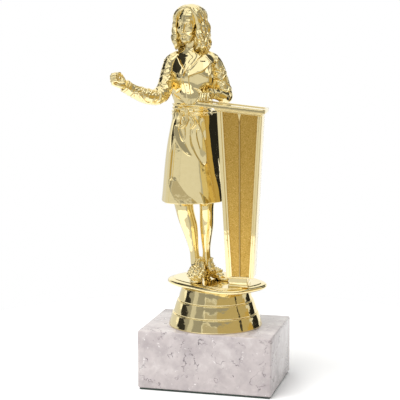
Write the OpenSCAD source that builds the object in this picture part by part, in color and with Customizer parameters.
// Public speaker's trophy: a plated woman speaker beside a tapered lectern, on an oval stage
// plate, a three-band round riser and a polished stone block, pulled together by one tie rod.
// Millimetres, +Z up. The front faces -Y. The origin is the centre of the underside.

/* [Stone block] */
// Width of the block
block_w = 74; // [66:1:90]
// Depth of the block
block_d = 54; // [52:1:70]
// Height of the block's top above the table
block_h = 33; // [24:1:45]
// Chamfer along the block's edges
block_chamfer = 0.8; // [0.4:0.2:2]
// Thickness of the felt sheet
felt_t = 1; // [0.6:0.2:2]

/* [Tie rod] */
// Diameter of the threaded rod
rod_d = 5; // [4:0.5:6]
// Diameter of the pocket that holds the nut under the block
pocket_d = 18; // [16:1:24]
// Depth of that pocket
pocket_depth = 9; // [8:1:14]

/* [Riser] */
// Radius at the foot of the riser
riser_foot_r = 26; // [24:0.5:30]
// Radius under the stage plate
riser_top_r = 18; // [17:0.5:22]
// Height of the riser
riser_h = 21; // [15:1:30]
// Number of convex bands
riser_bands = 3; // [2:1:4]
// Wall of the moulded shell
wall = 1.8; // [1.2:0.2:2.4]

/* [Stage plate] */
// Length of the oval plate
plate_len = 58; // [54:1:66]
// Width of the oval plate
plate_wid = 41.5; // [38:0.5:48]
// Thickness of the plate
plate_t = 3.4; // [2.4:0.2:5]
// Turn of the plate's long axis about Z, on the stage
plate_turn = -36; // [-45:1:0]
// Turn of the stage and all it carries about the rod, against the block
stage_turn = 4.5; // [0:0.5:15]

/* [Lectern] */
// Half width of the body at its foot
lectern_foot_half = 7.2; // [6.4:0.1:8]
// Half width of the body at its top
lectern_top_half = 12.3; // [11:0.1:13]
// Fall of the board across its width, in degrees
board_fall = 6; // [4:0.5:7]
// Thickness of the board
board_t = 2.2; // [1.6:0.2:3]
// Height of the plinth
plinth_h = 4.9; // [3:0.1:6]

/* [Figure] */
// Height of the speaker, from the plate to the top of the hair
figure_h = 151; // [120:1:180]
// Turn of the body about Z, toward -X
body_turn = -26; // [-32:1:-14]

/* [Hidden] */

gold = "#d9bd6a";
satin = "#b4934a";
stone = "#cfc4c3";
steel = "#9aa0a4";
brass = "#c2a14a";
felt = "#27352f";

// Stack of the base, from the table up
stage_z = block_h + riser_h;
floor_z = stage_z + plate_t;
k = figure_h / 151;

// Hardware: washer and nut hang from the pocket's ceiling, the insert sits in the plate's boss
pocket_top = felt_t + pocket_depth;
washer_t = 1.2;
washer_r = 7.4;
nut_h = 4;
nut_flats = 8;
thread_gap = 0.1;
bore_gap = 0.5;
boss_r = 5;
boss_len = 8;
insert_r = 3.5;
insert_h = 6.5;

// Lectern, measured on the stage: origin on the plate, z from the plate's top
lectern_x = 15.9;
lectern_front = [-17, -21.2];
lectern_back = [-4, -6.4];
lectern_top_z = 100;
board_mid_z = 97.3;
board_left = -23.2;
board_right = 13.9;
board_front = -22.6;
board_back = -5.6;
cornice_steps = [[0.9, 0.8], [0.5, 0.6]];
cornice_h = cornice_steps[0][1] + cornice_steps[1][1];
panel_depth = 1.1;
panel_t = 0.7;
strip_w = 3;
lectern_wall = 2.4;
bead_r = 0.45;

// Facets of the sculpted solids
sides = 20;
limb_sides = 14;

// ---- geometry helpers ----
function unit(v) = v / norm(v);
function spow(v, e) = sign(v) * pow(abs(v), e);
function turned(p, a) = [p.x * cos(a) - p.y * sin(a), p.x * sin(a) + p.y * cos(a)];

// Level oval ring with half widths a and b, turned about Z; power 2 is an ellipse
function oval(c, a, b, turn = 0, n = sides, power = 2) = [
    for (i = [0 : n - 1])
        let (t = 360 * i / n,
             q = turned([a * spow(cos(t), 2 / power), b * spow(sin(t), 2 / power)], turn))
        [c.x + q.x, c.y + q.y, c.z]];

// Ring around c, square to direction d; ra runs sideways and rb along ref
function hoop(c, d, ref, ra, rb, n = limb_sides) =
    let (w = unit(d), v = unit(ref - (ref * w) * w), u = cross(v, w))
    [for (i = [0 : n - 1]) c + ra * cos(360 * i / n) * u + rb * sin(360 * i / n) * v];

// Solid through a stack of rings of equal length
module loft(rings) {
    n = len(rings[0]);
    m = len(rings);
    points = [for (ring = rings) for (p = ring) p];
    skin = [for (r = [0 : m - 2]) for (i = [0 : n - 1])
        let (j = (i + 1) % n, a = r * n + i, b = r * n + j, c = b + n, d = a + n)
        each [[a, d, c], [a, c, b]]];
    caps = [[for (i = [0 : n - 1]) i], [for (i = [0 : n - 1]) m * n - 1 - i]];
    polyhedron(points, concat(skin, caps), convexity = 6);
}

// Limb through rows of [x, y, z, half width, half thickness]
module limb(rows, ref = [0, 0, 1]) {
    last = len(rows) - 1;
    function at(i) = [rows[i][0], rows[i][1], rows[i][2]];
    loft([for (i = [0 : last])
        let (d = at(min(i + 1, last)) - at(max(i - 1, 0)))
        hoop(at(i), d, ref, rows[i][3], rows[i][4])]);
}

// Trunk through rows of [x, y, z, half width, half depth], all rings level
module trunk(rows, turn = body_turn, grow = 0, n = sides, power = 2.2) {
    loft([for (r = rows) oval([r[0], r[1], r[2]], r[3] + grow, r[4] + grow, turn, n, power)]);
}

// Everything that stands on the plate, drawn from the plate's top at a figure height of 151
module on_stage() {
    translate([0, 0, floor_z]) rotate([0, 0, stage_turn]) scale(k) children();
}

// ---- stone block, felt and hardware ----
function chamfered(w, h, c) = [[c - w / 2, -h / 2], [w / 2 - c, -h / 2], [w / 2, c - h / 2],
    [w / 2, h / 2 - c], [w / 2 - c, h / 2], [c - w / 2, h / 2], [-w / 2, h / 2 - c],
    [-w / 2, c - h / 2]];

module block_solid(w, d, h, c) {
    intersection() {
        linear_extrude(h, center = true) polygon(chamfered(w, d, c));
        rotate([90, 0, 0]) linear_extrude(d, center = true) polygon(chamfered(w, h, c));
        rotate([90, 0, 90]) linear_extrude(w, center = true) polygon(chamfered(d, h, c));
    }
}

module base_felt() {
    inset = 2 * block_chamfer;
    color(felt) translate([0, 0, felt_t / 2])
        cube([block_w - inset, block_d - inset, felt_t], center = true);
}

module stone_base() {
    h = block_h - felt_t;
    color(stone) difference() {
        translate([0, 0, felt_t + h / 2]) block_solid(block_w, block_d, h, block_chamfer);
        cylinder(h = block_h + 1, d = rod_d + 2 * bore_gap, $fn = 48);
        translate([0, 0, felt_t - 1]) cylinder(h = pocket_depth + 1, d = pocket_d, $fn = 64);
    }
}

module tie_rod() {
    foot = pocket_top - washer_t - nut_h - 1.6;
    color(steel) translate([0, 0, foot])
        cylinder(h = stage_z - 1.5 - foot, d = rod_d, $fn = 48);
}

module rod_nut() {
    color(steel) translate([0, 0, pocket_top - washer_t - nut_h]) difference() {
        cylinder(h = nut_h, d = nut_flats / cos(30), $fn = 6);
        translate([0, 0, -1]) cylinder(h = nut_h + 2, d = rod_d + 2 * thread_gap, $fn = 48);
    }
}

module rod_washer() {
    color(steel) translate([0, 0, pocket_top - washer_t]) difference() {
        cylinder(h = washer_t, r = washer_r, $fn = 64);
        translate([0, 0, -1]) cylinder(h = washer_t + 2, d = rod_d + 2 * bore_gap, $fn = 48);
    }
}

// ---- riser ----
// Outer outline of the riser: each band bulges a little and steps in above the one below
function riser_outline(inset = 0) =
    let (band_h = riser_h / riser_bands, fall = (riser_foot_r - riser_top_r) / riser_bands,
         step = 0.6, bulge = 0.5)
    [for (b = [0 : riser_bands - 1]) for (s = [0 : 6])
        let (t = s / 6, foot = riser_foot_r - b * fall)
        [foot - t * (fall - step) + bulge * sin(180 * t) - inset, (b + t) * band_h]];

module riser_shell() {
    outer = riser_outline();
    inner = riser_outline(wall);
    color(gold) translate([0, 0, block_h]) rotate_extrude($fn = 96) difference() {
        polygon(concat([[0, 0]], outer, [[0, riser_h]]));
        intersection() {
            polygon(concat([[0, -1], [inner[0].x, -1]], inner, [[0, riser_h]]));
            translate([0, -1]) square([riser_foot_r, riser_h + 1 - wall]);
        }
        square([boss_r + 0.2, riser_h + 1]);
    }
}

// ---- stage plate ----
module stage_plate() {
    rows = [[0, 1.5], [0.15, 0.6], [0.5, 0], [0.8, 0.25], [1, 1.1]];
    color(gold) difference() {
        union() {
            translate([0, 0, stage_z]) rotate([0, 0, stage_turn]) loft([for (r = rows)
                oval([0.3, 2.8, r[0] * plate_t], plate_len / 2 - r[1], plate_wid / 2 - r[1],
                    plate_turn, 64, 2.7)]);
            translate([0, 0, stage_z - boss_len])
                cylinder(h = boss_len + 1, r = boss_r, $fn = 48);
        }
        translate([0, 0, stage_z - boss_len - 1])
            cylinder(h = insert_h + 1, r = insert_r, $fn = 48);
        translate([0, 0, stage_z - boss_len])
            cylinder(h = boss_len, d = rod_d + 2 * bore_gap, $fn = 48);
    }
}

module figure_insert() {
    color(brass) translate([0, 0, stage_z - boss_len]) difference() {
        cylinder(h = insert_h, r = insert_r, $fn = 48);
        translate([0, 0, -1]) cylinder(h = insert_h + 2, d = rod_d + 2 * thread_gap, $fn = 48);
    }
}

// ---- lectern ----
function rise(z) = (z - plinth_h) / (lectern_top_z - plinth_h);
function mix(a, b, t) = a + (b - a) * t;
function half_at(z) = mix(lectern_foot_half, lectern_top_half, rise(z));
function front_at(z) = mix(lectern_front[0], lectern_front[1], rise(z));
function back_at(z) = mix(lectern_back[0], lectern_back[1], rise(z));

// Level rectangle of the tapered body at height z, drawn in by inset
function lectern_ring(z, inset = 0) =
    let (w = half_at(z) - inset, f = front_at(z) + inset, b = back_at(z) - inset)
    [[lectern_x - w, f, z], [lectern_x + w, f, z], [lectern_x + w, b, z],
     [lectern_x - w, b, z]];

// Slab on the front face between side offsets x0 and x1 at the foot and at the top,
// from depth d0 behind the face to depth d1
module front_slab(foot, top, d0, d1, z0, z1) {
    loft([for (zx = [[z0, foot], [z1, top]])
        let (z = zx[0], f = front_at(z))
        [[lectern_x + zx[1][0], f + d1, z], [lectern_x + zx[1][1], f + d1, z],
         [lectern_x + zx[1][1], f + d0, z], [lectern_x + zx[1][0], f + d0, z]]]);
}

// Frame of the board: origin in the middle of its upper face
module board_frame() {
    translate([lectern_x, 0, board_mid_z]) rotate([0, board_fall, 0]) children();
}

// Everything above the cornice's underside
module above_cornice() {
    board_frame() translate([-50, -50, -board_t - cornice_h]) cube([100, 100, 60]);
}

module lectern_plinth() {
    inset = 1.8;
    color(gold) on_stage()
        translate([lectern_x - lectern_foot_half + 0.8, lectern_front[0] + 0.2, 0])
            cube([2 * (lectern_foot_half - inset), 11.8, plinth_h]);
}

module lectern_body() {
    floor_t = 2;
    z0 = plinth_h + 0.8;
    inner = [for (z = [plinth_h, lectern_top_z]) half_at(z) - strip_w];
    color(gold) on_stage() difference() {
        loft([lectern_ring(plinth_h), lectern_ring(lectern_top_z)]);
        loft([lectern_ring(plinth_h + floor_t, lectern_wall),
            lectern_ring(lectern_top_z + 1, lectern_wall)]);
        front_slab([-inner[0], inner[0]], [-inner[1], inner[1]], panel_depth, -1, z0, lectern_top_z);
        above_cornice();
    }
}

module lectern_panel(side) {
    gap = 0.6;
    z0 = plinth_h + 0.8;
    edge = [for (z = [plinth_h, lectern_top_z]) half_at(z) - strip_w];
    foot = side > 0 ? [gap, edge[0]] : [-edge[0], -gap];
    top = side > 0 ? [gap, edge[1]] : [-edge[1], -gap];
    color(satin) on_stage() difference() {
        front_slab(foot, top, panel_depth, panel_depth - panel_t, z0, lectern_top_z);
        above_cornice();
    }
}

module lectern_left_panel() { lectern_panel(-1); }
module lectern_right_panel() { lectern_panel(1); }

module lectern_center_bead() {
    z0 = plinth_h + 0.8;
    depth = panel_depth - bead_r;
    color(gold) on_stage() difference() {
        limb([for (z = [z0, lectern_top_z])
            [lectern_x, front_at(z) + depth, z, bead_r, bead_r]], [0, 1, 0]);
        above_cornice();
    }
}

module lectern_cornice() {
    color(gold) on_stage() board_frame() for (s = [0, 1]) {
        grow = cornice_steps[s][0];
        top = -board_t - s * cornice_steps[0][1];
        w = lectern_top_half + grow;
        f = lectern_front[1] - grow;
        translate([-w, f, top - cornice_steps[s][1]])
            cube([2 * w, lectern_back[1] + grow - f, cornice_steps[s][1]]);
    }
}

module lectern_board() {
    c = [(board_left + board_right) / 2, (board_front + board_back) / 2, -board_t / 2];
    color(gold) on_stage() board_frame() translate(c)
        block_solid(board_right - board_left, board_back - board_front, board_t, 0.5);
}

// ---- shoes and legs ----
// Shoe pointing to -Y from its heel, through rows of [distance, half width, height]
module shoe(rows) {
    loft([for (r = rows) [for (i = [0 : limb_sides - 1])
        let (t = 360 * i / limb_sides, s = sin(t))
        [r[1] * cos(t), -r[0], s > 0 ? r[2] * (0.25 + 0.75 * s) : 0.25 * r[2] * (1 + s)]]]);
}

module right_shoe_solid() {
    translate([-10.4, 4.6, 0]) rotate([0, 0, 4])
        shoe([[-0.6, 1.8, 6], [0, 2.5, 9], [2, 3.2, 12], [5, 4.2, 12.5], [7.5, 5.2, 10.5],
            [11, 5.6, 9.6], [14, 4.6, 7], [16, 2.4, 4]]);
}

module left_shoe_solid() {
    translate([-6.8, 6.6, 0]) rotate([0, 0, 58])
        shoe([[-0.6, 1.6, 6], [0, 2.3, 8.5], [2, 2.8, 11], [5, 2.9, 9.5], [8, 3, 6.6],
            [11, 2.9, 5], [14, 2.2, 3.8], [16.6, 1, 2.4]]);
}

module right_shoe() { color(gold) on_stage() right_shoe_solid(); }
module left_shoe() { color(gold) on_stage() left_shoe_solid(); }

hem_z = 43.6;
right_leg_rows = [[-18.4, 2.4, hem_z, 5.5, 5.5], [-17.3, 2.6, 37, 5.2, 5.2], [-15.4, 2.8, 30, 4.6, 4.8],
    [-13.6, 2.4, 22, 3.4, 3.6], [-12.2, 2, 15, 2.6, 2.8], [-11.6, 2, 8, 2.5, 2.7]];
left_leg_rows = [[-5.6, 4, hem_z, 4.3, 4.6], [-5.6, 4.4, 37, 4.1, 4.6], [-5.8, 4.6, 30, 3.8, 4.3],
    [-6, 4.6, 22, 2.9, 3.3], [-5.9, 4.8, 15, 2.3, 2.5], [-5.8, 4.8, 8, 2.2, 2.4]];

module right_leg() {
    color(gold) on_stage() difference() {
        limb(right_leg_rows, [0, 1, 0]);
        right_shoe_solid();
        translate([-40, -30, hem_z]) cube([60, 60, 5]);
    }
}

module left_leg() {
    color(gold) on_stage() difference() {
        limb(left_leg_rows, [0, 1, 0]);
        left_shoe_solid();
        translate([-40, -30, hem_z]) cube([60, 60, 5]);
    }
}

// ---- dress ----
waist_z = 94.6;
skirt_turn = 4;
skirt_rows = [[-13.2, 2, hem_z, 16.3, 13.2], [-13.2, 2, hem_z + 1.2, 16.4, 13.3],
    [-13.1, 2, 53, 15.9, 12.6], [-12.8, 2, 64, 15.2, 11.8], [-12.3, 2, 75, 14.4, 10.9],
    [-11.7, 2.1, 84, 13.3, 9.9], [-11.6, 2.2, 88.4, 12.4, 9.2], [-13.3, 2.3, 91.6, 9.9, 8],
    [-13.5, 2.3, waist_z, 9.5, 7.5]];
blouse_rows = [[-13.5, 2.3, waist_z, 10.2, 7.4], [-13.6, 2.2, 101, 10.9, 8], [-13.8, 1.8, 107, 12, 9.2],
    [-14, 1.6, 112, 12.9, 9.7], [-14.1, 1.8, 117, 12.7, 8.8], [-14, 2.3, 121, 12.1, 7],
    [-13.8, 2.7, 124, 9.6, 5.6], [-14, 2.6, 126, 4.9, 4.4]];
sash_rows = [[-13.6, 2.2, 91.8, 11.9, 9.1], [-13.6, 2.2, 93, 12, 9.2],
    [-13.5, 2.2, 95, 11.5, 8.7], [-13.5, 2.2, 96.6, 11.5, 8.7]];

module skirt_solid() { trunk(skirt_rows, skirt_turn); }
module blouse_solid() { trunk(blouse_rows); }

module skirt() { color(gold) on_stage() skirt_solid(); }
module blouse() { color(gold) on_stage() blouse_solid(); }

module sash_knot() {
    translate([-17.6, -6.6, 93.8]) scale([1, 0.8, 1]) sphere(r = 2.2, $fn = 16);
}

module sash() {
    color(gold) on_stage() difference() {
        union() {
            trunk(sash_rows);
            sash_knot();
        }
        skirt_solid();
        blouse_solid();
    }
}

module sash_tails() {
    color(gold) on_stage() difference() {
        union() for (tail = [[-18.6, -19.6, 83], [-16.6, -14.6, 84.5]])
            limb([[tail[0], -7, 92.6, 0.9, 0.6], [(tail[0] + tail[1]) / 2, -8.4, 88, 1.3, 0.8],
                [tail[1], -9, tail[2], 1.5, 0.8]], [0, 1, 0]);
        skirt_solid();
        trunk(sash_rows);
        sash_knot();
    }
}

// Collar: the chest grown by the cloth, kept inside two lapels and a band round the neck
collar_t = 0.9;
module collar() {
    lapel = [[-1.2, 128], [9, 127.5], [9.6, 121], [4.6, 114.5], [0.6, 118.2], [1.8, 124]];
    color(gold) on_stage() difference() {
        intersection() {
            trunk(blouse_rows, grow = collar_t);
            translate([-14.2, 2.6, 0]) rotate([0, 0, body_turn]) union() {
                for (side = [-1, 1]) scale([side, 1, 1]) rotate([90, 0, 0])
                    linear_extrude(20) polygon(lapel);
                translate([0, 0, 122]) cylinder(h = 6, r = 8.6, $fn = 32);
            }
        }
        blouse_solid();
        head_solid();
        right_sleeve_solid();
        left_sleeve_solid();
    }
}

// ---- arms ----
right_sleeve_rows = [[-23.2, 2, 121.4, 4, 3.6], [-25.5, 0.6, 116, 4.2, 4.3],
    [-26.6, -2.8, 109, 4, 4.2], [-27.7, -6.8, 103.2, 4.2, 4.4], [-31, -10.4, 100.8, 4, 4],
    [-36.2, -14.8, 102, 3.9, 3.8], [-41, -19, 105, 3.2, 3.2]];
left_sleeve_rows = [[-3.8, 3.6, 121.8, 3.7, 3.4], [-0.8, 3.6, 119.4, 3.6, 3.7], [1.8, 3.4, 113.2, 3.4, 3.7],
    [3.9, 2.8, 106.4, 3.3, 3.6], [5.3, 1.4, 100.8, 3.3, 3.4], [4.2, -2.6, 101.2, 3.2, 3],
    [2, -6.2, 102.4, 2.8, 2.7], [0, -9.4, 103.2, 2.5, 2.3]];

module right_sleeve_solid() { limb(right_sleeve_rows, [0, -1, 0.3]); }
module left_sleeve_solid() { limb(left_sleeve_rows, [0.2, -1, 0.3]); }

module right_sleeve() {
    color(gold) on_stage() difference() { right_sleeve_solid(); blouse_solid(); }
}

module left_sleeve() {
    color(gold) on_stage() difference() { left_sleeve_solid(); blouse_solid(); }
}

// Cuff from the sleeve's end toward the wrist
module cuff(from, to, r, ref) {
    limb([[from.x, from.y, from.z, r, r], [to.x, to.y, to.z, r + 0.3, r + 0.3]], ref);
}

module right_cuff_solid() { cuff([-41, -19, 105], [-44.2, -21.2, 107.8], 3.1, [0, -1, 0.3]); }
module left_cuff_solid() { cuff([0, -9.4, 103.2], [-1.4, -11.2, 103.4], 2.2, [0.2, -1, 0.3]); }

module right_cuff() {
    color(gold) on_stage() difference() { right_cuff_solid(); right_sleeve_solid(); }
}

module left_cuff() {
    color(gold) on_stage() difference() { left_cuff_solid(); left_sleeve_solid(); }
}

module right_hand() {
    color(gold) on_stage() difference() {
        limb([[-42.7, -20.2, 106.8, 1.8, 1.9], [-45.3, -22.2, 108.6, 2, 2.2],
            [-48.1, -24, 110, 2.6, 3.4], [-50.7, -25.6, 111.2, 2.6, 3.8],
            [-52.9, -27, 112.2, 2, 2.9], [-53.9, -27.8, 112.6, 0.9, 1.4]], [0, 0, 1]);
        right_cuff_solid();
        right_sleeve_solid();
    }
}

module left_hand() {
    color(gold) on_stage() difference() {
        limb([[-0.9, -10.6, 103.3, 1.6, 1.5], [-2.4, -12.4, 103.6, 2.2, 1.5],
            [-3.6, -14.6, 103.5, 2.4, 1.5], [-4.3, -16.8, 102.3, 2.1, 1.3],
            [-4.6, -18.2, 101, 1.5, 1]], [0, 0, 1]);
        left_cuff_solid();
        left_sleeve_solid();
    }
}

// ---- head and hair ----
head_turn = -17;
head_rows = [[-13.9, 2.4, 126, 3.3, 3.4], [-14.1, 1.6, 130, 3.2, 3.4], [-14.4, -0.6, 132.2, 3.6, 4.4],
    [-14.6, -0.8, 134.2, 5, 6.2], [-14.6, 0, 138.2, 6.3, 7.3], [-14.6, 0.6, 142.2, 6.6, 7.6],
    [-14.6, 1, 145.8, 5.8, 6.6], [-14.6, 1.4, 148.6, 3.4, 4]];
hair_rows = [[-12.8, 6, 120.4, 8, 2.6], [-12.8, 5.6, 125, 10.2, 4.6], [-12.9, 4.8, 131.2, 10, 5.9],
    [-13.5, 3.4, 137.2, 9.5, 7.6], [-14, 2.4, 143.2, 8.8, 8.8], [-14.4, 2, 147.6, 7, 7.6],
    [-14.6, 1.8, 150.2, 4, 4.6], [-14.6, 1.8, 151, 1.6, 1.8]];

module head_solid() { trunk(head_rows, head_turn); }
module head() { color(gold) on_stage() head_solid(); }

module hair() {
    color(gold) on_stage() difference() {
        trunk(hair_rows, head_turn);
        head_solid();
        blouse_solid();
        trunk(blouse_rows, grow = collar_t);
        right_sleeve_solid();
        left_sleeve_solid();
    }
}

base_felt();
stone_base();
tie_rod();
rod_nut();
rod_washer();
riser_shell();
figure_insert();
stage_plate();
lectern_plinth();
lectern_body();
lectern_left_panel();
lectern_right_panel();
lectern_center_bead();
lectern_cornice();
lectern_board();
right_shoe();
left_shoe();
right_leg();
left_leg();
skirt();
sash();
sash_tails();
blouse();
collar();
right_sleeve();
right_cuff();
right_hand();
left_sleeve();
left_cuff();
left_hand();
head();
hair();
